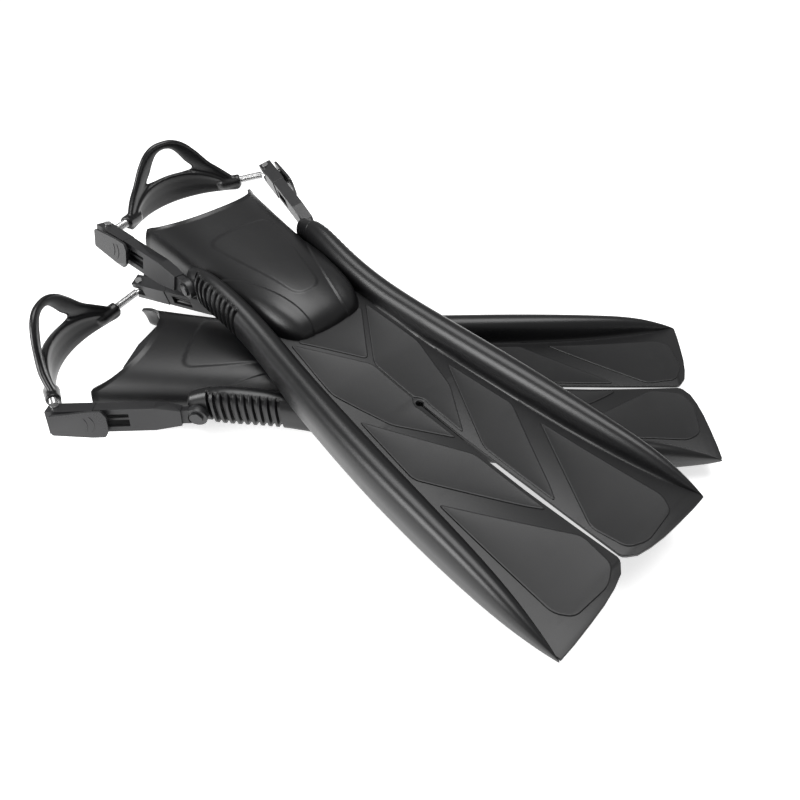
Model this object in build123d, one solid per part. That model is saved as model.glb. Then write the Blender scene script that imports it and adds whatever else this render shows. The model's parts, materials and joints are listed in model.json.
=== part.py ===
from build123d import *
import os
from math import cos, radians, sin

os.makedirs("parts", exist_ok=True)

# A pair of open-heel split-blade swim fins: the top fin lies across the bottom fin.
# Each fin is drawn in its own frame (mm): X from heel to tip, Y to the wearer's left,
# Z up from the blade, origin at the round hole where the slit begins.

# Blade
blade_length = 256.0
tip_half_width = 107.0
blade_thickness = 3.4
blade_root = 190.0
root_rise = 11.0
tip_rise = 10.0
hole_radius = 4.0
slit_width = 2.4
slit_belly = 6.0
panel_height = 0.9

# Side rails
rail_top = 28.0
rail_bottom = 14.0
rail_width = 28.0
rail_grip = 4.0
rib_count = 9
rib_pitch = 8.2
rib_thickness = 4.4
groove_depth = 4.2
rib_reach = 8.0

# Foot pocket
pocket_front = 144.0
pocket_length = 260.0
pocket_half_width = 80.0
pocket_height = 56.0
opening_front = 206.0
opening_corner = 40.0
pocket_wall = 4.5
sole_thickness = 6.0
body_gap = 0.3

# Buckles: one post, arm, clip, lever, spring pin and spring on each side
post_setback = 146.0
post_radius = 4.0
post_height = 27.0
post_head_radius = 7.0
post_head_thickness = 2.5
running_fit = 0.06
arm_length = 102.3
arm_height = 27.0
arm_thickness = 15.0
arm_wall = 3.0
arm_splay = 11.5
arm_climb = 5.9
arm_roll = 14.0
window_length = 26.0
clip_length = 46.0
clip_height = 27.0
clip_thickness = 17.0
prong_length = 40.0
prong_thickness = 3.2
lever_length = 56.0
lever_height = 31.0
lever_thickness = 3.2
lever_gap = 3.4
lever_pin_radius = 1.2
lever_pin_offset = 1.8
spring_pin_radius = 2.0
spring_pin_head_radius = 4.2
spring_pin_head = 2.2

# Heel strap
spring_radius = 5.0
spring_wall = 1.6
pad_reach = 495.0
pad_half_width = 84.0
pad_depth = 41.0
pad_thickness = 8.0
pad_lift = 15.0
pad_height = 34.0
pad_end_height = 14.0
pad_sleeve = 24.0
loop_top = 102.0
loop_hole_low = 54.0
loop_hole_top = 89.0
loop_hole_half_width = 26.0

# How the two fins lie: heading and nose-down pitch in degrees, then place
bottom_heading = -5.9
bottom_place = (80.0, 518.0, 0.0)
top_heading = -48.2
top_pitch = 4.0
top_place = (20.0, 440.0, 48.8)


def plan(points):
    """A tall prism over a closed outline in the XY plane."""
    return extrude(make_face(Polyline(*points, close=True)), amount=150, both=True)


def plan_band(inner, outer):
    """A tall prism between two smooth edges that share their ends."""
    edges = Spline(*inner) + Line(inner[-1], outer[-1]) + Spline(*outer) + Line(outer[0], inner[0])
    return extrude(make_face(edges), amount=150, both=True)


def side_band(lower, upper):
    """A wide prism between two smooth edges seen from the side, given as (x, z)."""
    edges = Spline(*lower) + Line(lower[-1], upper[-1]) + Spline(*upper) + Line(upper[0], lower[0])
    return extrude(Plane.XZ * make_face(edges), amount=150, both=True)


def right(shape):
    """The right-hand twin of a left-hand shape."""
    return mirror(shape, about=Plane.XZ)


# ---------------------------------------------------------------- blade

def blade_curve(offset):
    """The blade's slight rise at root and tips, moved up by an offset."""
    return [
        (-blade_root, root_rise + offset),
        (-0.79 * blade_root, root_rise + offset),
        (-0.36 * blade_root, 0.25 * root_rise + offset),
        (0, offset),
        (0.5 * blade_length, 0.1 * tip_rise + offset),
        (blade_length, tip_rise + offset),
    ]


def layer(lower, upper):
    """A layer of the blade between two heights over its underside curve."""
    return side_band(blade_curve(lower), blade_curve(upper))


def rail_inner_edge(grip):
    """Top view of a rail's inner edge, moved outward by the depth it grips the blade."""
    rear = -(pocket_front + post_setback + 12)
    return [
        (rear, 0.86 * pocket_half_width + grip),
        (-0.82 * blade_length, 0.75 * pocket_half_width + grip),
        (-0.4 * blade_length, 0.61 * tip_half_width + grip),
        (0.14 * blade_length, 0.73 * tip_half_width + grip),
        (0.64 * blade_length, 0.84 * tip_half_width + grip),
        (0.86 * blade_length, 0.92 * tip_half_width + grip),
        (blade_length, tip_half_width - 1 + min(grip, 0.5)),
    ]


def rail_outer_edge():
    """Top view of a rail's outer edge."""
    rear = -(pocket_front + post_setback + 12)
    inner = rail_inner_edge(0)
    return [
        (rear, post_face()),
        (rear + 26, post_face() + 2),
        (inner[1][0], inner[1][1] + 1.04 * rail_width),
        (inner[2][0], inner[2][1] + 1.12 * rail_width),
        (inner[3][0], inner[3][1] + 1.13 * rail_width),
        (inner[4][0], inner[4][1] + 0.85 * rail_width),
        (inner[5][0], inner[5][1] + 0.49 * rail_width),
        (blade_length, tip_half_width),
    ]


def post_face():
    """Y of the flat face at the rail's rear end that carries the buckle post."""
    return 0.90 * pocket_half_width + 14


def lobe_end():
    """Half outline of the blade: the tip edge of one lobe, from the rail to the slit."""
    x = blade_length
    y = tip_half_width
    return [(0.996 * x, 0.62 * y), (0.98 * x, 0.25 * y), (0.967 * x, 0.12 * y), (0.945 * x, 0.045 * y)]


def blade():
    """The flexing plate, slit from the round hole to the tips into two lobes."""
    edge = [(x, y) for x, y in rail_inner_edge(rail_grip) if x > -0.5 * blade_length]
    rear = [(-blade_root, 0.78 * pocket_half_width), (-blade_root, 0)]
    left_half = plan([(0.935 * blade_length, 0)] + lobe_end()[::-1] + edge[::-1] + rear)
    body = (left_half + right(left_half)) & layer(0, blade_thickness)
    body -= Cylinder(hole_radius, 100)
    w = slit_width / 2
    edge = [(0, w), (0.2 * blade_length, w), (0.36 * blade_length, 0.42 * slit_belly),
            (0.55 * blade_length, 0.5 * slit_belly), (0.92 * blade_length, 1.2 * w), (blade_length, 1.2 * w)]
    return body - plan(edge + [(x, -y) for x, y in edge[::-1]])


def panel(points):
    """One raised panel with rounded corners on the blade's upper face."""
    face = make_face(Polyline(*points, close=True))
    face = fillet(face.vertices(), radius=3.5)
    prism = extrude(face, amount=150, both=True)
    return prism & layer(blade_thickness, blade_thickness + panel_height)


def blade_panels():
    """Raised stiffening panels: a shield, a forked chevron, two middle and two tip panels."""
    x = blade_length
    y = tip_half_width
    shield = [(-0.535 * x, 0), (-0.51 * x, 0.40 * y), (-0.36 * x, 0.22 * y), (-0.27 * x, 0)]
    chevron = [(0.20 * x, 0.055 * y), (-0.22 * x, 0.055 * y), (-0.33 * x, 0.26 * y),
               (-0.53 * x, 0.50 * y), (-0.33 * x, 0.55 * y), (-0.24 * x, 0.57 * y), (0.01 * x, 0.38 * y)]
    middle = [(-0.09 * x, 0.62 * y), (0.22 * x, 0.66 * y), (0.60 * x, 0.16 * y),
              (0.66 * x, 0.06 * y), (0.33 * x, 0.07 * y)]
    tip = [(0.38 * x, 0.68 * y), (0.90 * x, 0.76 * y), (0.955 * x, 0.66 * y), (0.965 * x, 0.28 * y),
           (0.93 * x, 0.10 * y), (0.80 * x, 0.05 * y)]
    half_shield = plan(shield) & layer(blade_thickness, blade_thickness + panel_height)
    solids = [half_shield + right(half_shield)]
    for points in (chevron, middle, tip):
        one = panel(points)
        solids += [one, right(one)]
    return Compound([s for piece in solids for s in piece.solids()])


# ---------------------------------------------------------------- side rails

def rail_outlines():
    """A side rail's edges: inner and outer from above, bottom and top from the side."""
    rear = -(pocket_front + post_setback + 12)
    bottom = [(rear, 14), (-0.93 * blade_length, 8), (-0.6 * blade_length, -2),
              (-0.35 * blade_length, -rail_bottom), (0.2 * blade_length, -rail_bottom),
              (0.6 * blade_length, -0.62 * rail_bottom), (0.8 * blade_length, 0), (blade_length, tip_rise - 1)]
    top = [(rear, 44), (-1.08 * blade_length, 52), (-0.9 * blade_length, 50), (-0.6 * blade_length, rail_top + 8),
           (-0.35 * blade_length, rail_top + 3), (0.2 * blade_length, rail_top), (0.6 * blade_length, rail_top),
           (0.85 * blade_length, 0.85 * rail_top), (blade_length, tip_rise + blade_thickness)]
    return rail_inner_edge(0), rail_outer_edge(), bottom, top


def rail_body():
    """A side rail without its ribs."""
    inner, outer, bottom, top = rail_outlines()
    return plan_band(inner, outer) & side_band(bottom, top)


def rail_core():
    """What is left of the rail's rear part between the ribs."""
    inner, outer, bottom, top = rail_outlines()
    outer = [(x, y - groove_depth) for x, y in outer[:4]]
    bottom = [(x, z + groove_depth) for x, z in bottom[:4]]
    top = [(x, z - groove_depth) for x, z in top[:5]]
    return plan_band(inner[:3], outer) & side_band(bottom, top)


def rib_grooves():
    """The slots between the ribs, cut from the outside of the rail's flexing rear part."""
    first = -(pocket_front + post_setback) + 14
    slots = []
    for i in range(rib_count + 1):
        x = first + i * rib_pitch
        cutter = Box(rib_pitch - rib_thickness, 100, 300, align=(Align.CENTER, Align.MIN, Align.CENTER))
        slots.append(Pos(x, post_face() - rib_reach, 0) * cutter)
    return slots


def rail(side, plate, outer, floor):
    """A rubber rail on the left (1) or right (-1), moulded around the blade, pocket and sole."""
    whole = rail_body()
    skin = whole - rail_core()
    for slot in rib_grooves():
        whole -= skin & slot
    whole -= Pos(0, 0, -rail_bottom) * Box(2000, 400, 50, align=(Align.CENTER, Align.CENTER, Align.MAX))
    heel = -(pocket_front + post_setback - 13.5)
    whole -= Pos(heel, post_face(), 0) * Box(100, 100, 300, align=(Align.MAX, Align.MIN, Align.CENTER))
    whole -= post_shaft()
    if side < 0:
        whole = right(whole)
    return whole - plate - outer - floor


# ---------------------------------------------------------------- foot pocket

def arch(x, half_width, base, shoulder, crown):
    """A tunnel section across the pocket at one station."""
    curve = Spline((half_width, shoulder), (0.74 * half_width, shoulder + 0.74 * (crown - shoulder)),
                   (0, crown), (-0.74 * half_width, shoulder + 0.74 * (crown - shoulder)),
                   (-half_width, shoulder), tangents=((0, 1), (0, -1)))
    edges = curve + Polyline((-half_width, shoulder), (-half_width, base), (half_width, base), (half_width, shoulder))
    return Plane(origin=(x, 0, 0), x_dir=(0, 1, 0), z_dir=(1, 0, 0)) * make_face(edges)


def pocket_sections(wall, base_drop):
    """Sections from toe to heel: station, half width, base, shoulder and crown."""
    front = pocket_front
    span = pocket_length
    wide = pocket_half_width
    tall = pocket_height
    rows = [
        (0.00, 0.42, 0.20, 0.46),
        (0.09, 0.58, 0.26, 0.74),
        (0.24, 0.74, 0.30, 0.88),
        (0.48, 0.86, 0.34, 0.94),
        (0.76, 0.94, 0.40, 1.04),
        (1.00, 1.02, 0.44, 1.14),
    ]
    base = sole_level() + sole_thickness - base_drop
    found = []
    for share, width, shoulder, crown in rows:
        x = -(front + share * span)
        found.append(arch(x, width * wide - wall, base, shoulder * tall + 4 - 0.5 * wall, crown * tall - wall))
    return found


def sole_level():
    """Height of the sole's underside."""
    return root_rise - sole_thickness - 1.0


def pocket_outer():
    """The pocket's outer shape, with the rear cut along the slanted foot opening."""
    body = loft(pocket_sections(0, 0))
    heel = -(pocket_front + pocket_length)
    crown = 1.14 * pocket_height
    slope = [(heel - 1, opening_corner), (-(pocket_front + opening_front), crown - 2),
             (-(pocket_front + opening_front), 1.5 * crown), (heel - 20, 1.5 * crown), (heel - 20, opening_corner)]
    return body - extrude(Plane.XZ * make_face(Polyline(*slope, close=True)), amount=150, both=True)


def foot_pocket(outer, plate):
    """The instep shell with its toe cap, open behind for the heel and closed below by the sole."""
    hollow = loft(pocket_sections(pocket_wall, 2))
    hollow &= Pos(-(pocket_front + pocket_wall + 4), 0, 0) * Box(
        2 * pocket_length, 400, 400, align=(Align.MAX, Align.CENTER, Align.CENTER))
    rearmost = -(pocket_front + pocket_length)
    hollow += extrude(hollow.faces().sort_by(Axis.X)[0], amount=20, dir=(-1, 0, 0))
    return outer - hollow - plate


def sole(plate):
    """The stiff plate under the foot, ending against the blade's root."""
    level = sole_level()
    front = -(pocket_front + 2)
    heel = -(pocket_front + pocket_length)
    wide = pocket_half_width
    half = [(front, 0), (front, 0.38 * wide), (-(pocket_front + 0.24 * pocket_length), 0.72 * wide),
            (-(pocket_front + 0.76 * pocket_length), 0.92 * wide), (heel, wide), (heel - 4, 0.8 * wide),
            (heel - 10, 0.5 * wide), (heel - 12, 0)]
    body = plan(half) + right(plan(half))
    body &= Pos(0, 0, level) * Box(2000, 400, sole_thickness, align=(Align.CENTER, Align.CENTER, Align.MIN))
    return body - plate


# ---------------------------------------------------------------- buckles (left side)

def post_place():
    """Middle of the buckle's eye, on the strap's hinge line."""
    return (-(pocket_front + post_setback), post_face() + body_gap + 4.5, post_height)


def buckle_plane():
    """X runs back along the buckle, Y points inward and Z up, leaning in by the roll."""
    tilt = radians(arm_climb)
    splay = radians(arm_splay)
    along = (-cos(tilt) * cos(splay), cos(tilt) * sin(splay), sin(tilt))
    up = (sin(tilt) * cos(splay), -sin(tilt) * sin(splay), cos(tilt))
    level = Plane(origin=post_place(), x_dir=along, z_dir=up)
    return Plane(level.location * Location((0, 0, 0), (-arm_roll, 0, 0)))


def buckle_box(x0, x1, y0, y1, z0, z1):
    """A block in the buckle's own frame."""
    block = Pos((x0 + x1) / 2, (y0 + y1) / 2, (z0 + z1) / 2) * Box(x1 - x0, y1 - y0, z1 - z0)
    return buckle_plane() * block


def buckle_rod(x, y, z0, z1, radius):
    """An upright rod in the buckle's own frame."""
    return buckle_plane() * Pos(x, y, (z0 + z1) / 2) * Cylinder(radius, z1 - z0)


def side_rod(y0, y1, radius):
    """A rod on the strap's hinge line."""
    x, _, z = post_place()
    return Pos(x, (y0 + y1) / 2, z) * Rot(90, 0, 0) * Cylinder(radius, y1 - y0)


def post_shaft():
    """The part of the post that sits in the rail and carries the arm."""
    return side_rod(post_face() - 9, post_place()[1] + 4.5 + body_gap, post_radius)


def post():
    """The pivot post with its retaining head."""
    outer = post_place()[1] + 4.5 + body_gap
    return post_shaft() + side_rod(outer, outer + post_head_thickness, post_head_radius)


def arm():
    """The swinging arm: an eye on the post and a hollow catch with a window."""
    h = arm_height / 2
    t = arm_thickness / 2
    eye = side_rod(post_face() + body_gap, post_face() + body_gap + 9, 11.5)
    neck = buckle_box(0, 20, -4.5, 4.5, -8, 8)
    half = [(16, 9), (0.42 * arm_length, h), (arm_length, h)]
    side_view = make_face(Polyline(*half, *[(x, -z) for x, z in half[::-1]], close=True))
    body = buckle_plane() * (Plane.XZ * extrude(side_view, amount=t, both=True))
    cavity = buckle_box(arm_length - prong_length - 3, arm_length + 1, -t + arm_wall, t - arm_wall,
                        -h + arm_wall, h - arm_wall)
    window = buckle_box(arm_length - 8 - window_length, arm_length - 8, -t - 1, t + 1,
                        -h + 2 * arm_wall, h - 2 * arm_wall)
    x, _, z = post_place()
    rail_room = Pos(x, post_face() + body_gap - 50, z) * Box(60, 100, 60)
    shape = eye + neck + body - cavity - window
    shape -= side_rod(0, 200, post_radius + running_fit)
    head = side_rod(post_face() + body_gap + 9, 200, post_head_radius + 1.5)
    return shape - rail_room - head


def clip():
    """The block that plugs into the arm with two prongs and a tongue, and holds the spring."""
    h = clip_height / 2
    t = clip_thickness / 2
    start = arm_length + body_gap
    end = start + clip_length
    body = buckle_box(start, end, -t, t, -h, h)
    reach = start - prong_length
    inner = arm_thickness / 2 - arm_wall - body_gap
    bar = arm_height / 2 - arm_wall - body_gap
    body += buckle_box(reach, start, -inner, inner, bar - prong_thickness, bar)
    body += buckle_box(reach, start, -inner, inner, -bar, -bar + prong_thickness)
    body += buckle_box(reach + 6, start, -inner, inner, -1.4, 1.4)
    ear_x = start + lever_hinge_share() * clip_length
    body += buckle_box(ear_x - 3, ear_x + 3, -t - lever_gap, -t, -3.5, 3.5)
    body -= buckle_rod(ear_x, -t - lever_pin_offset, -3.5, 3.5, lever_pin_radius)
    body -= buckle_box(end - 13, end + 1, -3, t + 1, -6, 6)
    body -= buckle_rod(spring_pin_place()[0], spring_pin_place()[1], -h - 1, h + 1, spring_pin_radius)
    return body


def lever_hinge_share():
    """How far along the clip the lever's hinge pin stands."""
    return 0.42


def lever_hinge():
    """The lever pin's x and y in the buckle's own frame."""
    return (arm_length + body_gap + lever_hinge_share() * clip_length, -clip_thickness / 2 - lever_pin_offset)


def lever():
    """The outer release plate, wider and rounded at its front end, hinged on the clip."""
    x, y = lever_hinge()
    near = -clip_thickness / 2 - lever_gap - 0.2
    h = lever_height / 2
    front = x - 0.6 * lever_length
    back = x + 0.4 * lever_length
    half = [(back, 0.72 * h), (x - 0.3 * lever_length, h), (front + 4, h), (front, 0.55 * h)]
    outline = make_face(Polyline(*half, *[(a, -b) for a, b in half[::-1]], close=True))
    outline = fillet(outline.vertices(), radius=3)
    face_on = Plane(origin=(0, near, 0), x_dir=(1, 0, 0), z_dir=(0, -1, 0))
    plate = buckle_plane() * (face_on * extrude(outline, amount=lever_thickness))
    for side in (-1, 1):
        inner = side * 3.8
        outer = side * 0.42 * clip_height
        plate += buckle_box(x - 3, x + 3, near, near + lever_gap - 0.5, min(inner, outer), max(inner, outer))
    return plate - buckle_rod(x, y, -20, 20, lever_pin_radius + running_fit)


def lever_pin():
    """The small pin that the lever turns on."""
    x, y = lever_hinge()
    return buckle_rod(x, y, -0.42 * clip_height, 0.42 * clip_height, lever_pin_radius)


def spring_pin_place():
    """The spring pin's x and y in the buckle's own frame."""
    return (arm_length + body_gap + clip_length - 7, 1.5)


def spring_pin():
    """The steel pin with a round head that holds the spring's eye in the clip."""
    x, y = spring_pin_place()
    top = clip_height / 2
    return buckle_rod(x, y, -top, top, spring_pin_radius) + buckle_rod(
        x, y, top, top + spring_pin_head, spring_pin_head_radius)


# ---------------------------------------------------------------- heel strap

def pad_radius():
    """Radius of the pad's back in top view, from its half width and depth."""
    return (pad_half_width**2 + pad_depth**2) / (2 * pad_depth)


def spring_start():
    """The left spring's eye, at the spring pin."""
    x, y = spring_pin_place()
    spot = buckle_plane().from_local_coords(Vector(x, y, 0))
    return Vector(spot.X, spot.Y, spot.Z)


def spring_end():
    """The left spring's inner end, inside the heel pad."""
    return Vector(-pad_reach + 0.333 * pad_half_width, 0.786 * pad_half_width, pad_lift + 0.38 * pad_height)


def along_spring(start, stop, radius):
    """A rod on the spring's line between two distances from the spring pin."""
    a = spring_start()
    direction = (spring_end() - a).normalized()
    middle = a + direction * ((start + stop) / 2)
    return Plane(origin=middle, z_dir=direction) * Cylinder(radius, stop - start)


def spring():
    """A close-wound steel spring with an eye around the spring pin."""
    length = (spring_end() - spring_start()).length
    coil = along_spring(11, length, spring_radius) - along_spring(12.5, length + 1, spring_radius - spring_wall)
    x, y = spring_pin_place()
    eye = buckle_rod(x, y, -1.6, 1.6, 4.2)
    neck = along_spring(3, 12, 1.6)
    return coil + eye + neck - buckle_rod(x, y, -10, 10, spring_pin_radius + running_fit)


def heel_pad():
    """The curved rubber heel pad: a band that rises into the finger loop, with spring sleeves."""
    centre = -pad_reach + pad_radius()
    ring = Pos(centre, 0, 0) * (Cylinder(pad_radius(), 400) - Cylinder(pad_radius() - pad_thickness, 401))
    front = Plane(origin=(-pad_reach - 5, 0, 0), x_dir=(0, 1, 0), z_dir=(1, 0, 0)) * pad_outline()
    pad = ring & extrude(front, amount=pad_reach / 4)
    length = (spring_end() - spring_start()).length
    sleeve = along_spring(length - pad_sleeve, length + 3, spring_radius + 2.5)
    bore = along_spring(0, length + body_gap, spring_radius + body_gap)
    pad += sleeve + right(sleeve)
    return pad - bore - right(bore)


def pad_outline():
    """The pad seen from behind: a wide rounded triangle with the finger hole in it."""
    w = pad_half_width
    low = pad_lift + 4
    high = low + pad_end_height
    rise = loop_top - high
    shoulder = [(w, high), (0.81 * w, high + 0.14 * rise), (0.62 * w, high + 0.38 * rise),
                (0.44 * w, high + 0.68 * rise), (0.22 * w, high + 0.94 * rise)]
    edge = Spline((-w, low), (-0.5 * w, pad_lift + 1), (0, pad_lift), (0.5 * w, pad_lift + 1), (w, low))
    edge += Line((w, low), (w, high)) + Line((-w, high), (-w, low))
    edge += Spline(*shoulder, (0, loop_top), *[(-y, z) for y, z in shoulder[::-1]])
    half = loop_hole_half_width
    corners = [(-half, loop_hole_low), (half, loop_hole_low),
               (0.3 * half, loop_hole_top), (-0.3 * half, loop_hole_top)]
    hole = fillet(make_face(Polyline(*corners, close=True)).vertices(), radius=7)
    return make_face(edge) - hole


# ---------------------------------------------------------------- one fin and the pair

def fin():
    """All pieces of one fin in its own frame, by name."""
    plate = blade()
    outer = pocket_outer()
    floor = sole(plate)
    pieces = {
        "blade": plate,
        "blade_panels": blade_panels(),
        "left_rail": rail(1, plate, outer, floor),
        "right_rail": rail(-1, plate, outer, floor),
        "foot_pocket": foot_pocket(outer, plate),
        "sole": floor,
        "heel_pad": heel_pad(),
    }
    makers = {"post": post, "buckle_arm": arm, "clip": clip, "release_lever": lever,
              "lever_pin": lever_pin, "spring_pin": spring_pin, "spring": spring}
    for name, maker in makers.items():
        piece = maker()
        pieces["left_" + name] = piece
        pieces["right_" + name] = right(piece)
    return pieces


def poses():
    """Where each fin's own frame stands in the pair's frame before centring."""
    bottom = Pos(*bottom_place) * Rot(0, 0, bottom_heading)
    top = Pos(*top_place) * Rot(0, 0, top_heading) * Rot(0, top_pitch, 0)
    return {"bottom": bottom, "top": top}


def pair():
    """Both fins, moved so that the middle of their footprint is the origin."""
    pieces = fin()
    placed = {}
    for which, pose in poses().items():
        for name, piece in pieces.items():
            placed[which + "_fin_" + name] = pose * piece
    box = Compound([s for p in placed.values() for s in p.solids()]).bounding_box()
    shift = Pos(-(box.min.X + box.max.X) / 2, -(box.min.Y + box.max.Y) / 2, -box.min.Z)
    return {name: shift * piece for name, piece in placed.items()}


for node, shape in pair().items():
    export_step(shape, "parts/" + node + ".step")
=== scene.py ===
import json
from math import cos, pi, radians, sin, sqrt
import bmesh
import bpy
import numpy as np
from mathutils import Matrix, Vector


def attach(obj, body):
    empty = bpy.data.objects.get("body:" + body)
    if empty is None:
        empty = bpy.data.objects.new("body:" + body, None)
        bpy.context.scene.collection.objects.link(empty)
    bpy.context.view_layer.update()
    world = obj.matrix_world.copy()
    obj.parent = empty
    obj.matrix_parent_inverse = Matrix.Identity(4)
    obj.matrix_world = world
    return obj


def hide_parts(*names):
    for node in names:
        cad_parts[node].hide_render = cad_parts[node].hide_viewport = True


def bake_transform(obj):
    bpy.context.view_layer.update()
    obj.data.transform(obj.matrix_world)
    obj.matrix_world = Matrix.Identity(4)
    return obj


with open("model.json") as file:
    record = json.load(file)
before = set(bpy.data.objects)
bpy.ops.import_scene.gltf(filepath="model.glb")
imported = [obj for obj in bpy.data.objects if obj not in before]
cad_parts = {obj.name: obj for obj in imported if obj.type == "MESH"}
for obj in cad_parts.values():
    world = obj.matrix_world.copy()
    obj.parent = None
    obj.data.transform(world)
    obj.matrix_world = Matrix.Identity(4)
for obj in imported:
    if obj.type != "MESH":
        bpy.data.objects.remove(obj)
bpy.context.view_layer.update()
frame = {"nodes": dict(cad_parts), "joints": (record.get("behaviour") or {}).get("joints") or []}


# ---------------------------------------------------------------- the two fins
# A pair of open-heel split-blade swim fins, left lying as they were put down: the top fin
# crosses the bottom one and rests on its rail. Each is drawn in its own frame in mm:
# x from heel to tip, y to the wearer's left, z up, from the round hole where the slit begins.

FINS = ("bottom_fin", "top_fin")
SIDES = (("left", 1), ("right", -1))
JOINTS = {joint["name"]: joint for joint in frame["joints"]}


def fin_place(fin):
    """The fin's own frame, found from its strap hinge and its pad's line of pull."""
    across = Vector(JOINTS[fin + "_left_strap_swing"]["axis"])
    forward = -Vector(JOINTS[fin + "_heel_pad_pull"]["axis"])
    up = forward.cross(across)
    left = Vector(JOINTS[fin + "_left_strap_swing"]["pos_m"])
    right = Vector(JOINTS[fin + "_right_strap_swing"]["pos_m"])
    place = Matrix((forward, across, up)).transposed().to_4x4()
    place.translation = (left + right) / 2 + 0.290 * forward - 0.027 * up
    return place @ Matrix.Scale(0.001, 4)


PLACE = {fin: fin_place(fin) for fin in FINS}


def moulding(fin, name, shape, finish, side=1, crease=38):
    """Sets a shape drawn on the left of a fin in its place, mirrored for the right side."""
    work = shape.copy()
    if side < 0:
        bmesh.ops.scale(work, vec=(1, -1, 1), verts=work.verts)
        bmesh.ops.reverse_faces(work, faces=work.faces)
    work.transform(PLACE[fin])
    mesh = bpy.data.meshes.new(fin + "_" + name)
    work.to_mesh(mesh)
    work.free()
    mesh.polygons.foreach_set("use_smooth", [True] * len(mesh.polygons))
    mesh.set_sharp_from_angle(angle=radians(crease))
    thing = bpy.data.objects.new(fin + "_" + name, mesh)
    bpy.context.scene.collection.objects.link(thing)
    mesh.materials.append(finish)
    return thing


def fixed(thing, fin, body, slot, *nodes):
    """The piece stands for its CAD nodes and moves with their body; its slot is not used."""
    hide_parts(*[fin + "_" + node for node in nodes])
    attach(thing, fin + "_" + body)


def eased(thing, width, segments=2, angle=32):
    """Rounds a moulding's edges by a width in mm."""
    bevel = thing.modifiers.new("eased edges", "BEVEL")
    bevel.width = width / 1000
    bevel.segments = segments
    bevel.limit_method = "ANGLE"
    bevel.angle_limit = radians(angle)
    bevel.harden_normals = False


def curve_through(*points):
    """A natural cubic through (x, y) points, as a function of x."""
    xs = np.array([p[0] for p in points], float)
    ys = np.array([p[1] for p in points], float)
    gaps = np.diff(xs)
    slopes = np.diff(ys) / gaps
    system = np.eye(len(xs))
    bend = np.zeros(len(xs))
    for i in range(1, len(xs) - 1):
        system[i, i - 1:i + 2] = gaps[i - 1], 2 * (gaps[i - 1] + gaps[i]), gaps[i]
        bend[i] = 6 * (slopes[i] - slopes[i - 1])
    bend = np.linalg.solve(system, bend)

    def height(x):
        i = int(np.clip(np.searchsorted(xs, x) - 1, 0, len(xs) - 2))
        a, b, h = xs[i + 1] - x, x - xs[i], gaps[i]
        return float((bend[i] * a**3 + bend[i + 1] * b**3) / (6 * h)
                     + (ys[i] / h - bend[i] * h / 6) * a + (ys[i + 1] / h - bend[i + 1] * h / 6) * b)
    return height


def eased_step(value, low, high):
    """0 below low, 1 above high, and a smooth rise between."""
    t = min(max((value - low) / (high - low), 0.0), 1.0)
    return t * t * (3 - 2 * t)


# ---------------------------------------------------------------- rubber and plastic finishes
# The fins are moulded in black thermoplastic rubber with a fine satin grain from the mould,
# stiffer for the blade and glossier for the rails, pocket and pad; buckles are black nylon.

class Feed:
    """A value or colour in a finish's nodes; arithmetic on it adds Math nodes."""

    def __init__(self, socket):
        self.socket = socket

    def sum(self, kind, first, second):
        node = self.socket.id_data.nodes.new("ShaderNodeMath")
        node.operation = kind
        for place, value in enumerate((first, second)):
            if isinstance(value, Feed):
                self.socket.id_data.links.new(value.socket, node.inputs[place])
            else:
                node.inputs[place].default_value = value
        return Feed(node.outputs[0])

    def __add__(self, other):
        return self.sum("ADD", self, other)

    def __sub__(self, other):
        return self.sum("SUBTRACT", self, other)

    def __rsub__(self, other):
        return self.sum("SUBTRACT", other, self)

    def __mul__(self, other):
        return self.sum("MULTIPLY", self, other)

    __radd__ = __add__
    __rmul__ = __mul__


class Finish:
    """A material whose shader is Blender's Principled one."""

    def __init__(self, name, **uniform):
        self.material = bpy.data.materials.new(name)
        self.material.use_nodes = True
        self.tree = self.material.node_tree
        self.shader = self.tree.nodes["Principled BSDF"]
        for socket, value in uniform.items():
            self.shader.inputs[socket.replace("_", " ")].default_value = value

    def node(self, kind, settings=None, output=0, **sockets):
        """Any other node: its settings first, then its sockets' values and links."""
        made = self.tree.nodes.new(kind)
        for name, value in (settings or {}).items():
            if name == "stops":
                for stop, (place, shade) in zip(self.stops(made, len(value)), value):
                    stop.position = place
                    stop.color = (shade, shade, shade, 1)
            else:
                setattr(made, name, value)
        for name, value in sockets.items():
            socket = made.inputs[name.replace("_", " ")]
            if isinstance(value, Feed):
                self.tree.links.new(value.socket, socket)
            else:
                socket.default_value = value
        return Feed(made.outputs[output])

    def stops(self, ramp, count):
        while len(ramp.color_ramp.elements) < count:
            ramp.color_ramp.elements.new(0.5)
        return ramp.color_ramp.elements

    def give(self, socket, feed):
        self.tree.links.new(feed.socket, self.shader.inputs[socket])


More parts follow.
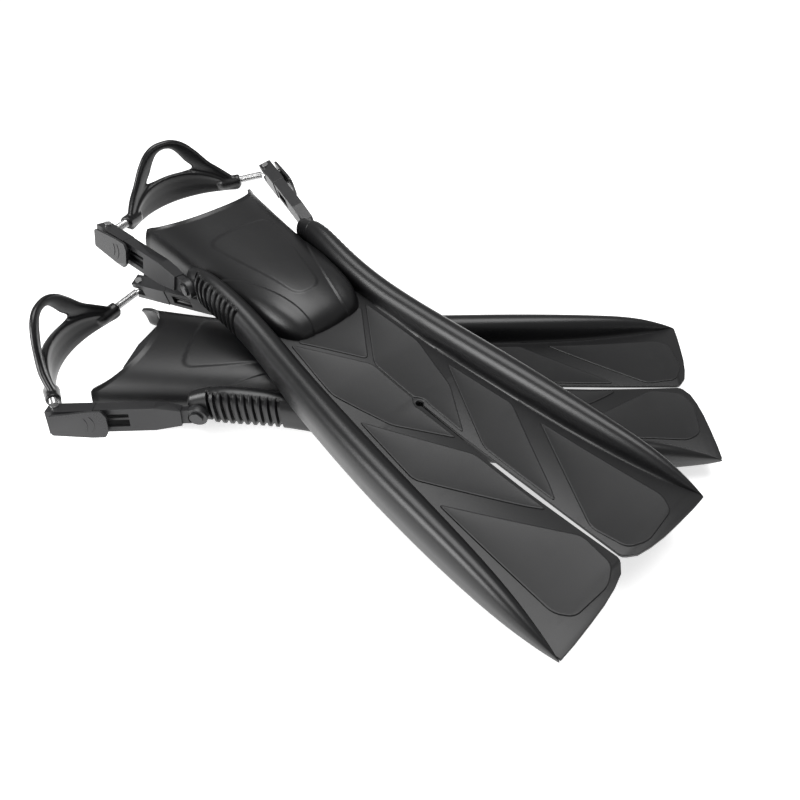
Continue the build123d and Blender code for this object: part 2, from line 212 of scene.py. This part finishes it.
def moulded_rubber(name, dark, light, rough, grain, sheen=0.0):
    """Black rubber: a fine mould grain, faint cloudy patches and a few soft scuffs."""
    finish = Finish(name, Specular_IOR_Level=0.5, Sheen_Weight=sheen, Sheen_Roughness=0.4)
    where = finish.node("ShaderNodeTexCoord", output=3)
    cloud = finish.node("ShaderNodeTexNoise", Vector=where, Scale=9.0, Detail=4.0, Roughness=0.6)
    speck = finish.node("ShaderNodeTexNoise", Vector=where, Scale=900.0, Detail=2.0, Roughness=0.5)
    scuff = finish.node("ShaderNodeTexNoise", Vector=where, Scale=55.0, Detail=6.0, Roughness=0.7)
    worn = finish.node("ShaderNodeValToRGB", {"stops": ((0.55, 0.0), (0.78, 1.0))}, Fac=scuff)
    tone = cloud * 0.7 + worn * 0.3
    colour = finish.node("ShaderNodeMix", {"data_type": "RGBA"}, output=2, Factor=tone)
    mix = colour.socket.node
    mix.inputs[6].default_value = (*dark, 1)
    mix.inputs[7].default_value = (*light, 1)
    finish.give("Base Color", colour)
    finish.give("Roughness", rough + (cloud - 0.5) * 0.10 + worn * 0.07 + (speck - 0.5) * 0.05)
    finish.give("Normal", finish.node("ShaderNodeBump", Height=speck, Strength=grain, Distance=0.0002))
    return finish.material


BLADE_RUBBER = moulded_rubber("blade_rubber", (0.006, 0.006, 0.0065), (0.010, 0.010, 0.0105), 0.42, 0.22)
RAIL_RUBBER = moulded_rubber("rail_rubber", (0.004, 0.004, 0.0045), (0.007, 0.007, 0.0075), 0.34, 0.18)
POCKET_RUBBER = moulded_rubber("pocket_rubber", (0.0045, 0.0045, 0.005), (0.008, 0.008, 0.0085), 0.36, 0.22)
PAD_RUBBER = moulded_rubber("pad_rubber", (0.004, 0.004, 0.0045), (0.007, 0.007, 0.0075), 0.30, 0.15)


# ---------------------------------------------------------------- blades
# Each blade is one flexing plate of stiff rubber, slit from a round hole to the tips into
# two lobes, with softened edges; it bows up slightly at the toe and at the tips.

BLADE_THICK = 3.4
SLIT = 1.2
blade_under = curve_through((-190, 11), (-150, 11), (-68, 2.75), (0, 0), (128, 1), (256, 10))
rail_inner = curve_through((-302, 69), (-210, 60), (-102.4, 65.3), (35.8, 78.1), (163.8, 89.9),
                           (220.2, 98.4), (256, 106))


def sliced(shape, start, stop, step):
    """Cuts a flat shape across every few mm so that it can bend along x."""
    x = start
    while x < stop:
        bmesh.ops.bisect_plane(shape, geom=shape.verts[:] + shape.edges[:] + shape.faces[:],
                               plane_co=(x, 0, 0), plane_no=(1, 0, 0))
        x += step


def blade_half():
    """The left half's outline: the hole, the slit, the lobe's rounded end and the rail's grip."""
    hole = [(4 * cos(a), 4 * sin(a)) for a in np.linspace(pi, 0.305, 13)]
    slit = [(4.4, SLIT), (51, SLIT), (92, 2.5), (141, 3.0), (200, 2.2), (236.5, 1.5)]
    lobe = [(239.4, 2.4), (242, 5), (247.5, 13), (251, 27), (253.6, 45), (255, 66),
            (256, 88), (256, 105)]
    grip = [(x, rail_inner(x) + 4) for x in range(244, -188, -12)]
    return [(-190, 0)] + hole + slit + lobe + grip + [(-190, 62.4)]


blade_shape = bmesh.new()
for half in (1, -1):
    outline = blade_half()[::half]
    blade_shape.faces.new([blade_shape.verts.new((x, half * y, 0)) for x, y in outline])
bmesh.ops.remove_doubles(blade_shape, verts=blade_shape.verts, dist=0.01)
bmesh.ops.recalc_face_normals(blade_shape, faces=blade_shape.faces)
if blade_shape.faces[:][0].normal.z < 0:
    bmesh.ops.reverse_faces(blade_shape, faces=blade_shape.faces)
sliced(blade_shape, -186, 254, 4)
for vert in blade_shape.verts:
    vert.co.z = blade_under(vert.co.x) + BLADE_THICK

for fin in FINS:
    plate = moulding(fin, "blade_plate", blade_shape, BLADE_RUBBER)
    thick = plate.modifiers.new("plate", "SOLIDIFY")
    thick.thickness = BLADE_THICK / 1000
    thick.offset = -1
    eased(plate, 0.9, 3, 50)
    fixed(plate, fin, "body", "blade_rubber", "blade")


# ---------------------------------------------------------------- raised blade panels
# Stiffening panels stand a millimetre proud of each blade, moulded with it: a shield at the
# toe, an arrow in two halves round the hole, and a middle and a tip panel on each lobe.

PANEL_RISE = 1.1
PANELS = {
    "shield": [(-150, 0), (-146, 47), (-80, 0), (-146, -47)],
    "chevron": [(58, 4.5), (7, 5.5), (0, 6.8), (-6.5, 3), (-9, 0.5), (-72, 0.5), (-148, 54),
                (-90, 60), (-66, 62), (3, 42)],
    "middle": [(-23, 63), (64, 71), (154, 17), (169, 6), (82, 6)],
    "tip": [(97, 73), (230, 81), (244, 71), (247, 30), (238, 11), (205, 5.5)],
}


def rounded(outline, radius, steps=7):
    """The outline with its corners rounded."""
    found = []
    count = len(outline)
    for i in range(count):
        here = Vector(outline[i])
        back = Vector(outline[i - 1]) - here
        on = Vector(outline[(i + 1) % count]) - here
        reach = min(radius, 0.42 * back.length, 0.42 * on.length)
        start = here + back.normalized() * reach
        stop = here + on.normalized() * reach
        for k in range(steps + 1):
            t = k / steps
            found.append(start * (1 - t) ** 2 + here * 2 * t * (1 - t) + stop * t * t)
    return found


def inset(outline, depth):
    """The outline moved inward."""
    found = []
    count = len(outline)
    area = sum(outline[i - 1].cross(outline[i]) for i in range(count))
    turn = 1 if area > 0 else -1
    for i in range(count):
        back = (outline[i] - outline[i - 1]).normalized()
        on = (outline[(i + 1) % count] - outline[i]).normalized()
        along = (back + on).normalized()
        inward = Vector((-along.y, along.x)) * turn
        found.append(outline[i] + inward * depth / max(0.5, sqrt((1 + back.dot(on)) / 2)))
    return found


def panel_shape(outline):
    """A panel with a rolled step all round, bent to the blade."""
    shape = bmesh.new()
    edge = rounded(outline, 7)
    steps = ((0.0, -0.3), (0.15, 0.55), (0.55, 0.95), (1.1, 1.10), (1.9, 1.0))
    loops = [[shape.verts.new((p.x, p.y, rise * PANEL_RISE)) for p in inset(edge, depth)]
             for depth, rise in steps]
    for low, high in zip(loops, loops[1:]):
        for i in range(len(edge)):
            shape.faces.new((low[i - 1], low[i], high[i], high[i - 1]))
    shape.faces.new(loops[-1])
    bmesh.ops.recalc_face_normals(shape, faces=shape.faces)
    if max(shape.faces, key=lambda face: face.calc_area()).normal.z < 0:
        bmesh.ops.reverse_faces(shape, faces=shape.faces)
    sliced(shape, -148, 252, 4)
    for vert in shape.verts:
        vert.co.z += blade_under(vert.co.x) + BLADE_THICK
    return shape


for fin in FINS:
    for name, outline in PANELS.items():
        for side_name, side in SIDES[:1] if name == "shield" else SIDES:
            label = name if name == "shield" else side_name + "_" + name
            panel = moulding(fin, label + "_panel", panel_shape(outline), BLADE_RUBBER, side, 60)
            fixed(panel, fin, "body", "blade_rubber", "blade_panels")


# ---------------------------------------------------------------- side rails
# Soft rubber rails run the fin's whole length and grip the blade's edges. Each is a tall
# rounded wall that thins to a point at the tip; behind the toe it is cut into ribs, so that
# it can flex, and its rear end is a plain block that carries the buckle's post.

RIB_COUNT = 9
RIB_PITCH = 8.2
RIB_THICK = 4.2
RIB_DEPTH = 4.8
rail_outer = curve_through((-302, 88), (-276, 91), (-210, 89), (-102.4, 96.6), (35.8, 109.8),
                           (163.8, 113.7), (220.2, 112.2), (256, 107))
rail_low = curve_through((-302, 14), (-238, 8), (-153.6, -2), (-89.6, -14), (51.2, -14),
                         (153.6, -8.7), (204.8, 0), (256, 9))
rail_high = curve_through((-302, 45), (-276.5, 53), (-230.4, 51), (-153.6, 38), (-89.6, 33), (51.2, 31),
                          (153.6, 30), (217.6, 23.8), (256, 13.4))


def even_ring(points, count):
    """The closed outline's points spread evenly along it."""
    line = np.array(list(points) + [points[0]])
    run = np.concatenate(([0], np.cumsum(np.hypot(*np.diff(line, axis=0).T))))
    goal = np.linspace(0, run[-1], count, endpoint=False)
    return list(zip(np.interp(goal, run, line[:, 0]), np.interp(goal, run, line[:, 1])))


def rail_ring(x, shrink, count=72):
    """The rail's section: a rounded wall, with a soft fillet where it meets the blade."""
    inner = rail_inner(x)
    outer = rail_outer(x) if x > -276 else min(rail_outer(x), 88)
    low = max(rail_low(x), -14)
    high = rail_high(x)
    mid_y, mid_z = (inner + outer) / 2, (low + high) / 2
    half_y, half_z = shrink * (outer - inner) / 2, shrink * (high - low) / 2
    ring = []
    for k in range(240):
        a = 2 * pi * k / 240
        c, s = cos(a), sin(a)
        power = 2 / 2.15 if s > 0 else 2 / 4
        y = mid_y + half_y * abs(c) ** power * (1 if c > 0 else -1)
        ring.append((y, mid_z + half_z * abs(s) ** power * (1 if s > 0 else -1)))
    found = []
    deck = blade_under(x) + BLADE_THICK
    root = 3.0 * eased_step(x, -152, -132) * eased_step(-x, -250, -215)
    for y, z in even_ring(ring, count):
        if y < mid_y and root > 0:
            t = min(max((z - deck + 0.4) / 7.0, 0), 1)
            flare = root * (1 - sqrt(max(0, 1 - (1 - t) ** 2)))
            y -= flare if z > deck - 2.5 else 0
        dip = rib_dip(x) * eased_step(y, outer - 9, outer - 6.5)
        if dip > 0:
            away = Vector((y - mid_y, 0.55 * (z - mid_z))).normalized()
            y -= dip * away.x
            z -= dip * away.y
        found.append((x, y, z))
    return found


def rib_dip(x):
    """How deep the rail is cut at a station, between the ribs."""
    first = -276.0
    slot = round((x - first) / RIB_PITCH)
    if slot < 0 or slot > RIB_COUNT:
        return 0.0
    off = abs(x - first - slot * RIB_PITCH)
    half = (RIB_PITCH - RIB_THICK) / 2
    return RIB_DEPTH * (1 - eased_step(off, half - 0.5, half + 0.7))


def loft(rings):
    """A closed skin over rings of points, capped at both ends."""
    shape = bmesh.new()
    loops = [[shape.verts.new(p) for p in ring] for ring in rings]
    for low, high in zip(loops, loops[1:]):
        for i in range(len(low)):
            shape.faces.new((low[i - 1], low[i], high[i], high[i - 1]))
    shape.faces.new(loops[0])
    shape.faces.new(loops[-1])
    bmesh.ops.recalc_face_normals(shape, faces=shape.faces)
    return shape


rail_rings = [rail_ring(-302 + 5 * (1 - cos(a)), 0.45 + 0.55 * sin(a)) for a in np.linspace(0, pi / 2, 7)]
rail_rings += [rail_ring(x, 1) for x in np.arange(-296, -282, 2)]
rail_rings += [rail_ring(x, 1) for x in np.arange(-282, -198, 0.55)]
rail_rings += [rail_ring(x, 1) for x in np.arange(-198, 240, 3.5)]
rail_rings += [rail_ring(240 + 16 * sin(a), max(0.12, cos(a)) ** 0.5) for a in np.linspace(0, pi / 2, 10)]
rail_shape = loft(rail_rings)

for fin in FINS:
    for side_name, side in SIDES:
        rail = moulding(fin, side_name + "_side_rail", rail_shape, RAIL_RUBBER, side, 55)
        fixed(rail, fin, "body", "rail_rubber", side_name + "_rail")


# ---------------------------------------------------------------- foot pockets
# The foot slips into a soft moulded shell, open behind the heel and closed over the toes.
# A raised tapering panel stiffens the instep, a fuller panel swells over each side of the
# toes and ends in a step, and the rear edge is rolled.

POCKET_WALL = 4.0
TOE = -140.0
POCKET_BASE = 9.0
POCKET_REACH = (200.0, 272.0)
RIM_HEIGHT = 61.8
RIM_FRONT = 219
RIM_SLOPE = 2.35
pocket_half = curve_through((0, 0), (1.41, 24), (3.46, 43), (5.1, 52), (6.3, 57), (8.41, 62),
                            (11.6, 69), (14.5, 75.6), (16.5, 81.8))
pocket_crown = curve_through((0, 13), (1.41, 21), (2.65, 28), (4, 34.5), (5.57, 41), (8.41, 48.6),
                             (11.6, 52.8), (14.5, 58.2), (16.5, 63.8))
INSTEP_PANEL = rounded([(-318, 43), (-272, 35), (-222, 24), (-180, 16), (-180, -16), (-222, -24),
                        (-272, -35), (-318, -43)], 13, 5)
SIDE_PANEL = rounded([(-276, 64), (-246, 49), (-218, 38), (-189, 29), (-166, 24), (-147, 22),
                      (-134, 30), (-136, 60), (-182, 90), (-262, 90)], 12, 5)


def depth_inside(x, y, outline):
    """How far a point lies inside an outline, or outside where it is negative."""
    nearest = 1e9
    inside = False
    for i in range(len(outline)):
        a, b = outline[i - 1], outline[i]
        run = b - a
        t = min(max(((x - a.x) * run.x + (y - a.y) * run.y) / run.length_squared, 0), 1)
        nearest = min(nearest, (x - a.x - t * run.x) ** 2 + (y - a.y - t * run.y) ** 2)
        if (a.y > y) != (b.y > y) and x < a.x + (y - a.y) * run.x / run.y:
            inside = not inside
    return sqrt(nearest) if inside else -sqrt(nearest)


def pocket_point(ahead, turn):
    """A point of the shell's outside, from its distance behind the toe and its angle across."""
    root = sqrt(max(ahead, 0))
    half, crown = pocket_half(root), pocket_crown(root)
    power = 2 / 2.55
    c, s = cos(turn), sin(turn)
    y = half * abs(c) ** power * (1 if c > 0 else -1)
    return Vector((TOE - ahead, y, POCKET_BASE + (crown - POCKET_BASE) * abs(s) ** power))


def pocket_length(turn):
    """How far back the shell reaches at an angle across, down the slanted opening."""
    low, high = POCKET_REACH
    for _ in range(18):
        reach = (low + high) / 2
        open_at = RIM_FRONT + RIM_SLOPE * (RIM_HEIGHT - pocket_point(reach, turn).z)
        low, high = (reach, high) if open_at > reach else (low, reach)
    return reach


def pocket_shape(rows=150, across=150):
    """The shell's outer skin with its panels, the flange round the toe and the rolled edge."""
    skin = []
    for r in range(rows + 1):
        share = (r / rows) ** 1.5
        row = []
        for k in range(across + 1):
            turn = pi * k / across
            row.append(pocket_point(share * pocket_length(turn), turn))
        skin.append(row)
    shape = bmesh.new()
    verts = []
    for r, row in enumerate(skin):
        line = []
        for k, point in enumerate(row):
            ahead = skin[min(r + 1, rows)][k] - skin[max(r - 1, 0)][k]
            aside = row[min(k + 1, across)] - row[max(k - 1, 0)]
            out = ahead.cross(aside)
            out = out.normalized() if out.length > 1e-6 else Vector((1, 0, 0))
            out = -out if out.dot(point - Vector((point.x - 20, 0, 5))) < 0 else out
            x, y = point.x, abs(point.y)
            lift = 1.0 * eased_step(depth_inside(x, point.y, INSTEP_PANEL), -0.7, 0.9)
            side = depth_inside(x, y, SIDE_PANEL)
            lift += 1.1 * eased_step(side, -0.5, 0.8) + 2.6 * eased_step(side, 0, 16)
            left = (skin[rows][k] - point).length
            lift += 1.5 * (1 - eased_step(left, 1.0, 4.5))
            foot = 1 - eased_step(point.z, 11.0, 15.5)
            spread = Vector((out.x, out.y, 0))
            placed = point + out * lift + spread * 3.0 * foot * foot
            line.append(shape.verts.new(placed))
        verts.append(line)
    for r in range(rows):
        for k in range(across):
            shape.faces.new((verts[r][k], verts[r][k + 1], verts[r + 1][k + 1], verts[r + 1][k]))
    bmesh.ops.remove_doubles(shape, verts=shape.verts, dist=0.02)
    bmesh.ops.recalc_face_normals(shape, faces=shape.faces)
    crest = max(shape.faces, key=lambda face: face.calc_center_median().z)
    if crest.normal.z < 0:
        bmesh.ops.reverse_faces(shape, faces=shape.faces)
    return shape


POCKET_SHAPE = pocket_shape()

for fin in FINS:
    shell = moulding(fin, "foot_shell", POCKET_SHAPE, POCKET_RUBBER, 1, 70)
    wall = shell.modifiers.new("wall", "SOLIDIFY")
    wall.thickness = POCKET_WALL / 1000
    wall.offset = -1
    eased(shell, 1.2, 3, 60)
    fixed(shell, fin, "body", "pocket_rubber", "foot_pocket")


# ---------------------------------------------------------------- soles
# A stiff plate under the foot closes each pocket below; it is moulded in hard black plastic
# and shows only at the heel, behind the foot opening.

def moulded_plastic(name, dark, rough, grain):
    """Black nylon with the fine sparkle of an etched mould and lighter, rubbed edges."""
    finish = Finish(name, Specular_IOR_Level=0.5)
    where = finish.node("ShaderNodeTexCoord", output=3)
    etch = finish.node("ShaderNodeTexNoise", Vector=where, Scale=1500.0, Detail=2.0, Roughness=0.6)
    cloud = finish.node("ShaderNodeTexNoise", Vector=where, Scale=30.0, Detail=3.0, Roughness=0.6)
    edge = finish.node("ShaderNodeNewGeometry", output=7)
    rubbed = finish.node("ShaderNodeValToRGB", {"stops": ((0.52, 0.0), (0.62, 1.0))}, Fac=edge)
    tone = cloud * 0.5 + rubbed * 0.5
    colour = finish.node("ShaderNodeMix", {"data_type": "RGBA"}, output=2, Factor=tone)
    colour.socket.node.inputs[6].default_value = (*dark, 1)
    colour.socket.node.inputs[7].default_value = (0.030, 0.030, 0.031, 1)
    finish.give("Base Color", colour)
    finish.give("Roughness", rough + (etch - 0.5) * 0.12 - rubbed * 0.08)
    finish.give("Normal", finish.node("ShaderNodeBump", Height=etch, Strength=grain, Distance=0.00015))
    return finish.material


BUCKLE_NYLON = moulded_plastic("buckle_nylon", (0.010, 0.010, 0.011), 0.40, 0.35)
LEVER_NYLON = moulded_plastic("lever_nylon", (0.010, 0.010, 0.011), 0.28, 0.20)
SOLE_PLASTIC = moulded_plastic("sole_plastic", (0.011, 0.011, 0.012), 0.42, 0.30)


def dressed(node, finish, width):
    """A CAD piece whose shape is right gets its finish and softened edges."""
    thing = frame["nodes"][node]
    thing.data.materials.clear()
    thing.data.materials.append(finish)
    weld = thing.modifiers.new("weld", "WELD")
    weld.merge_threshold = 0.00002
    eased(thing, width)
    bpy.context.view_layer.update()


for fin in FINS:
    dressed(fin + "_sole", SOLE_PLASTIC, 0.8)


# ---------------------------------------------------------------- heel pads
# The heel rests in a curved crescent of soft rubber. The band behind it rises into a big
# rounded finger loop whose legs run down to the pad's ends, where a tapered sleeve on each
# side grips the spring. It is all one moulding.

PAD_RADIUS = 106.5
PAD_BACK = -495.0
PAD_TOP = ((86, 26), (80, 37), (67, 48), (52, 61), (38.5, 79), (26, 93), (13, 100.5), (0, 102))
PAD_UNDER = ((0, 15), (22, 15.3), (44, 16.4), (66, 18.2), (80, 19.5))
FINGER_HOLE = ((-27, 54), (27, 54), (22, 69), (8.5, 89), (-8.5, 89), (-22, 69))


def wrapped(y, z, out):
    """A point on the pad's curve, seen from behind as (y, z), so far out from its middle."""
    middle = PAD_RADIUS - 4
    turn = y / middle * 1.12
    x = PAD_BACK + PAD_RADIUS - (middle + out) * cos(turn)
    return (x + 0.16 * max(0, z - 50), (middle + out) * sin(turn), z)


def tube(points, radii, sides=20):
    """A round skin along a line of points with a radius at each."""
    rings = []
    line = [Vector(p) for p in points]
    turn = None
    for i, here in enumerate(line):
        ahead = (line[min(i + 1, len(line) - 1)] - line[max(i - 1, 0)]).normalized()
        seed = turn if turn is not None else Vector((0, 0, 1)) if abs(ahead.z) < 0.8 else Vector((1, 0, 0))
        turn = (seed - ahead * seed.dot(ahead)).normalized()
        other = ahead.cross(turn)
        rings.append([here + radii[i] * (turn * cos(2 * pi * k / sides) + other * sin(2 * pi * k / sides))
                      for k in range(sides)])
    return loft(rings)


def smooth_loop(points, count):
    """A closed smooth line through points, as many as asked for."""
    found = []
    total = len(points)
    for i in range(total):
        a, b, c, d = (Vector(points[(i + k) % total]) for k in (-1, 0, 1, 2))
        for t in np.linspace(0, 1, 12, endpoint=False):
            found.append(0.5 * (2 * b + (c - a) * t + (2 * a - 5 * b + 4 * c - d) * t * t
                                + (3 * b - a - 3 * c + d) * t**3))
    return even_ring([(p.x, p.y) for p in found], count)


def finger_loop():
    """The whole outline with its hole, as a band with full round edges."""
    right = list(PAD_UNDER) + list(PAD_TOP)
    outer = smooth_loop(right + [(-y, z) for y, z in right[-2:0:-1]], 200)
    hole = smooth_loop([p for p in FINGER_HOLE], 200)
    rims = []
    for ring in (outer, hole):
        start = max(range(200), key=lambda i: ring[i][1] - 0.001 * abs(ring[i][0]))
        turned = [Vector(p) for p in ring[start:] + ring[:start]]
        if sum(turned[i - 1].cross(turned[i]) for i in range(200)) < 0:
            turned = [turned[0]] + turned[:0:-1]
        rims.append(turned)
    shape = bmesh.new()
    loops = []
    for a in np.linspace(0, 2 * pi, 28, endpoint=False):
        share = 0.5 - 0.5 * (abs(cos(a)) ** 0.75) * (1 if cos(a) > 0 else -1)
        out = 4.1 * abs(sin(a)) ** 0.8 * (1 if sin(a) > 0 else -1)
        loops.append([shape.verts.new(wrapped(*outer_p.lerp(hole_p, share), out))
                      for outer_p, hole_p in zip(*rims)])
    for low, high in zip(loops, loops[1:] + loops[:1]):
        for i in range(200):
            shape.faces.new((low[i - 1], low[i], high[i], high[i - 1]))
    bmesh.ops.recalc_face_normals(shape, faces=shape.faces)
    return shape


pad_lip = curve_through((0, 53), (24, 51.5), (48, 45), (70, 35), (86, 27))
pad_low = curve_through((0, 14.6), (24, 15), (48, 16.4), (70, 18.6), (86, 21.5))


def crescent():
    """The cushion that bears on the heel: a thicker crescent inside, with a lip above."""
    rings = []
    for t in np.linspace(-1, 1, 91):
        y = 86 * t
        low, high = pad_low(abs(y)), pad_lip(abs(y))
        ends = sqrt(max(0.03, 1 - abs(t) ** 10))
        middle, half = (low + high) / 2, ends * (high - low) / 2
        ring = []
        for inward, level in ((4.0, -1.0), (-1.5, -1.0), (-4.6, -0.86), (-5.2, -0.5), (-4.6, 0.0),
                              (-5.0, 0.5), (-6.4, 0.84), (-6.2, 1.0), (-4.4, 1.06), (0.0, 1.0),
                              (4.0, 0.9)):
            ring.append(wrapped(y, middle + half * level, inward * ends))
        rings.append(ring)
    return loft(rings)


def buckle_frame():
    """The left buckle's own frame: x back along it, y inward and z up, leaning in."""
    splay, climb, lean = radians(11.5), radians(5.9), radians(14)
    along = Vector((-cos(climb) * cos(splay), cos(climb) * sin(splay), sin(climb)))
    up = Vector((sin(climb) * cos(splay), -sin(climb) * sin(splay), cos(climb)))
    inward = up.cross(along)
    up, inward = up * cos(lean) + inward * sin(lean), inward * cos(lean) - up * sin(lean)
    place = Matrix((along, inward, up)).transposed().to_4x4()
    place.translation = (-290, 90.8, 27)
    return place


BUCKLE = buckle_frame()
SPRING_START = BUCKLE @ Vector((141.6, 1.5, 0))
SPRING_END = Vector((-467, 66, 28))
SPRING_LINE = (SPRING_END - SPRING_START).normalized()
SPRING_RUN = (SPRING_END - SPRING_START).length


def sleeve(side):
    """The pad's tapered end round the spring, flared into the crescent."""
    stations = ((-25, 7.4), (-23.5, 8.0), (-14, 8.2), (-6, 8.6), (0, 8.8), (6, 7.0))
    points = [SPRING_END + SPRING_LINE * run for run, _ in stations]
    points = [(p.x, side * p.y, p.z) for p in points]
    return tube(points, [radius for _, radius in stations])


def melted(shapes, voxel, rounds, name):
    """Several closed skins run together into one soft-edged moulding."""
    whole = bpy.data.meshes.new(name)
    joined = bmesh.new()
    for shape in shapes:
        part = bpy.data.meshes.new("part")
        shape.to_mesh(part)
        joined.from_mesh(part)
        bpy.data.meshes.remove(part)
        shape.free()
    joined.to_mesh(whole)
    joined.free()
    thing = bpy.data.objects.new(name, whole)
    bpy.context.scene.collection.objects.link(thing)
    blend = thing.modifiers.new("run together", "REMESH")
    blend.mode = "VOXEL"
    blend.voxel_size = voxel
    soft = thing.modifiers.new("soft", "SMOOTH")
    soft.factor = 0.6
    soft.iterations = rounds
    made = bpy.data.meshes.new_from_object(thing.evaluated_get(bpy.context.evaluated_depsgraph_get()))
    shape = bmesh.new()
    shape.from_mesh(made)
    bpy.data.objects.remove(thing)
    bpy.data.meshes.remove(made)
    return shape


PAD_SHAPE = melted([crescent(), finger_loop(), sleeve(1), sleeve(-1)], 1.1, 9, "pad")

for fin in FINS:
    pad = moulding(fin, "heel_cushion", PAD_SHAPE, PAD_RUBBER, 1, 80)
    fixed(pad, fin, "heel_strap_body", "pad_rubber", "heel_pad")


# ---------------------------------------------------------------- springs
# A close-wound stainless spring joins each clip to the pad in place of a rubber strap. Its
# wire ends in an eye round the clip's pin and its other end is moulded into the sleeve.

def steel(name, rough):
    """Drawn stainless wire: bright, with faint marks of the die."""
    finish = Finish(name, Metallic=1.0)
    where = finish.node("ShaderNodeTexCoord", output=3)
    mark = finish.node("ShaderNodeTexNoise", Vector=where, Scale=600.0, Detail=3.0, Roughness=0.6)
    tint = finish.node("ShaderNodeValToRGB", {"stops": ((0.3, 0.52), (0.7, 0.74))}, Fac=mark)
    finish.give("Base Color", tint)
    finish.give("Roughness", rough + (mark - 0.5) * 0.12)
    return finish.material


STEEL = steel("stainless", 0.22)
WIRE = 0.8
COIL_RADIUS = 4.2
COIL_PITCH = 1.72


def coil():
    """The wire's line: an eye in the clip, a short neck, and close turns to inside the sleeve."""
    side = SPRING_LINE.cross(Vector((0, 0, 1))).normalized()
    up = side.cross(SPRING_LINE)
    eye = [SPRING_START + 3.1 * (SPRING_LINE * cos(a) + side * sin(a))
           for a in np.linspace(1.4 * pi, 0.35, 18)]
    first, last = 9.5, SPRING_RUN - 4
    turns = int((last - first) / COIL_PITCH)
    run = []
    for k in range(turns * 14 + 1):
        a = 2 * pi * k / 14
        along = first + (last - first) * k / (turns * 14)
        run.append(SPRING_START + SPRING_LINE * along + COIL_RADIUS * (side * cos(a) + up * sin(a)))
    return eye + run


spring_line = coil()
spring_shape = tube(spring_line, [WIRE] * len(spring_line), 8)

for fin in FINS:
    for side_name, side in SIDES:
        spring = moulding(fin, side_name + "_coil", spring_shape, STEEL, side, 80)
        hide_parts(fin + "_" + side_name + "_spring")
        if side > 0:
            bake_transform(spring)
        else:
            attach(spring, fin + "_heel_strap_body")


# ---------------------------------------------------------------- buckles
# Each side's buckle is black nylon: an arm that swings on the rail's post, a clip that plugs
# into the arm's open window, and a curved release plate with two thumb grooves. Stainless
# pins hold the spring and the release plate.

for fin in FINS:
    for side_name, side in SIDES:
        start = fin + "_" + side_name
        dressed(start + "_post", BUCKLE_NYLON, 0.6)
        dressed(start + "_buckle_arm", BUCKLE_NYLON, 0.9)
        dressed(start + "_clip", BUCKLE_NYLON, 0.7)
        dressed(start + "_release_lever", LEVER_NYLON, 0.9)
        dressed(start + "_lever_pin", STEEL, 0.25)
        dressed(start + "_spring_pin", STEEL, 0.7)


def thumb_grooves():
    """Two raised arcs across the release plate for the thumb."""
    both = bmesh.new()
    for centre, radius, sweep in ((122, 14, 0.62), (115, 14, 0.80)):
        line = [BUCKLE @ Vector((centre - radius * cos(a), -15.25, radius * sin(a)))
                for a in np.linspace(-sweep, sweep, 15)]
        ridge = tube(line, [0.25] + [0.6] * 13 + [0.25], 8)
        part = bpy.data.meshes.new("ridge")
        ridge.to_mesh(part)
        both.from_mesh(part)
        ridge.free()
        bpy.data.meshes.remove(part)
    return both


GROOVES = thumb_grooves()
for fin in FINS:
    for side_name, side in SIDES:
        ridges = moulding(fin, side_name + "_thumb_ridges", GROOVES, LEVER_NYLON, side, 80)
        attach(ridges, fin + "_" + side_name + "_lever_body")


# ---------------------------------------------------------------- studio
# A white sweep on a table, lit by a broad soft light overhead and a large one from the
# left, with the camera standing over the heel ends and looking down along the fins.

FLOOR = Finish("white_sweep", Roughness=0.9, Specular_IOR_Level=0.1, Base_Color=(0.93, 0.93, 0.93, 1),
               Emission_Color=(1, 1, 1, 1), Emission_Strength=0.62)
FLOOR_SHAPE = bmesh.new()
for x, y in ((-6, -6), (6, -6), (6, 6), (-6, 6)):
    FLOOR_SHAPE.verts.new((x, y, 0))
FLOOR_SHAPE.faces.new(FLOOR_SHAPE.verts[:])
floor_mesh = bpy.data.meshes.new("sweep")
FLOOR_SHAPE.to_mesh(floor_mesh)
FLOOR_SHAPE.free()
floor = bpy.data.objects.new("sweep", floor_mesh)
floor_mesh.materials.append(FLOOR.material)
bpy.context.scene.collection.objects.link(floor)

world = bpy.data.worlds.new("studio")
world.use_nodes = True
world.node_tree.nodes["Background"].inputs["Color"].default_value = (1, 1, 1, 1)
world.node_tree.nodes["Background"].inputs["Strength"].default_value = 0.32
bpy.context.scene.world = world


def softbox(name, spot, aim, size, power):
    """A square area light that points at a spot."""
    lamp = bpy.data.lights.new(name, "AREA")
    lamp.shape = "RECTANGLE"
    lamp.size, lamp.size_y = size
    lamp.energy = power
    stand = bpy.data.objects.new(name, lamp)
    stand.location = spot
    stand.rotation_euler = (Vector(aim) - Vector(spot)).to_track_quat("-Z", "Y").to_euler()
    bpy.context.scene.collection.objects.link(stand)


softbox("overhead", (0.1, 0.2, 1.9), (0, 0, 0), (1.6, 1.2), 30)
softbox("left", (-1.5, -0.9, 1.0), (0, 0, 0.05), (1.0, 0.9), 28)

CAMERA_TILT = 90 - 45.1
CAMERA_ROLL = -1.72
camera = bpy.data.objects.new("camera", bpy.data.cameras.new("camera"))
camera.data.sensor_width = 36
camera.data.lens = 27.495
heel = PLACE["bottom_fin"].translation
camera.matrix_world = (Matrix.Translation((heel.x - 0.080, heel.y - 0.518, 0.513))
                       @ Matrix.Rotation(radians(CAMERA_TILT), 4, "X")
                       @ Matrix.Rotation(radians(CAMERA_ROLL), 4, "Z"))
bpy.context.scene.collection.objects.link(camera)
bpy.context.scene.camera = camera
bpy.context.scene.view_settings.view_transform = "Standard"
